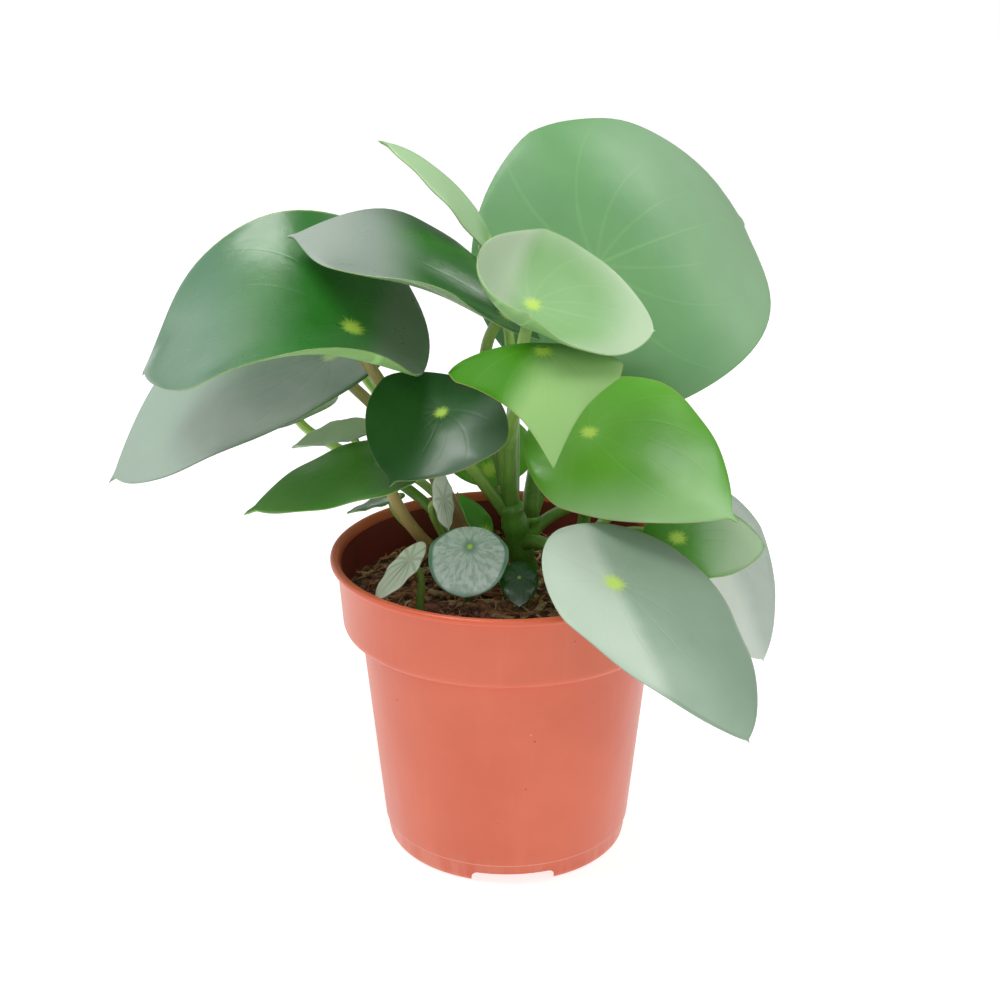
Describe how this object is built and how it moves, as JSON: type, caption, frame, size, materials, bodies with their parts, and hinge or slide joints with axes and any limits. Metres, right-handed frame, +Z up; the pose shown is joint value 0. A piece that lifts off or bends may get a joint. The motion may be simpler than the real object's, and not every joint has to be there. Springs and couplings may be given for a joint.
{
  "type": "potted peperomia",
  "caption": "Peperomia with broad, fleshy, pointed round leaves on thick stalks, standing in soil in a round plastic nursery pot with a wide rim band.",
  "frame": {"origin": "centre of the pot's base, on the surface it stands on", "axes": "+Z up along the pot's axis, +X to the right and +Y away from the viewer, seen from the side with the three young leaves"},
  "size_m": [0.2385, 0.2017, 0.2395],
  "materials": {
    "pot": "smooth moulded terracotta-coloured plastic with a soft sheen",
    "soil": "dark brown compost with coir fibres",
    "stem": "fleshy green to tan skin",
    "leaf": "smooth waxy green upper face with a soft gloss and a paler underside"
  },
  "bodies": {
    "root": {"pot": "pot", "soil": "soil", "stem_main": "stem", "stem_left": "stem", "stem_right": "stem", "stem_back": "stem", "stalk_round": "stem", "stalk_pale": "stem", "stalk_dark": "stem", "leaf_left_dome": "leaf", "leaf_top_left": "leaf", "leaf_top_centre": "leaf", "leaf_left_low": "leaf", "leaf_left_under": "leaf", "leaf_left_small": "leaf", "leaf_left_green": "leaf", "leaf_centre_dark": "leaf", "leaf_top_narrow": "leaf", "leaf_back_large": "leaf", "leaf_right_bright": "leaf", "leaf_centre_shield": "leaf", "leaf_right_small": "leaf", "leaf_right_back": "leaf", "leaf_front_right": "leaf", "leaf_behind_stalks": "leaf", "leaf_low_left": "leaf", "leaf_back_left": "leaf", "leaf_back_right": "leaf", "leaf_back_high": "leaf", "leaf_back_far_left": "leaf", "young_round": "leaf", "young_pale": "leaf", "young_silver": "leaf", "young_dark": "leaf", "young_lance": "leaf"}
  },
  "joints": []
}
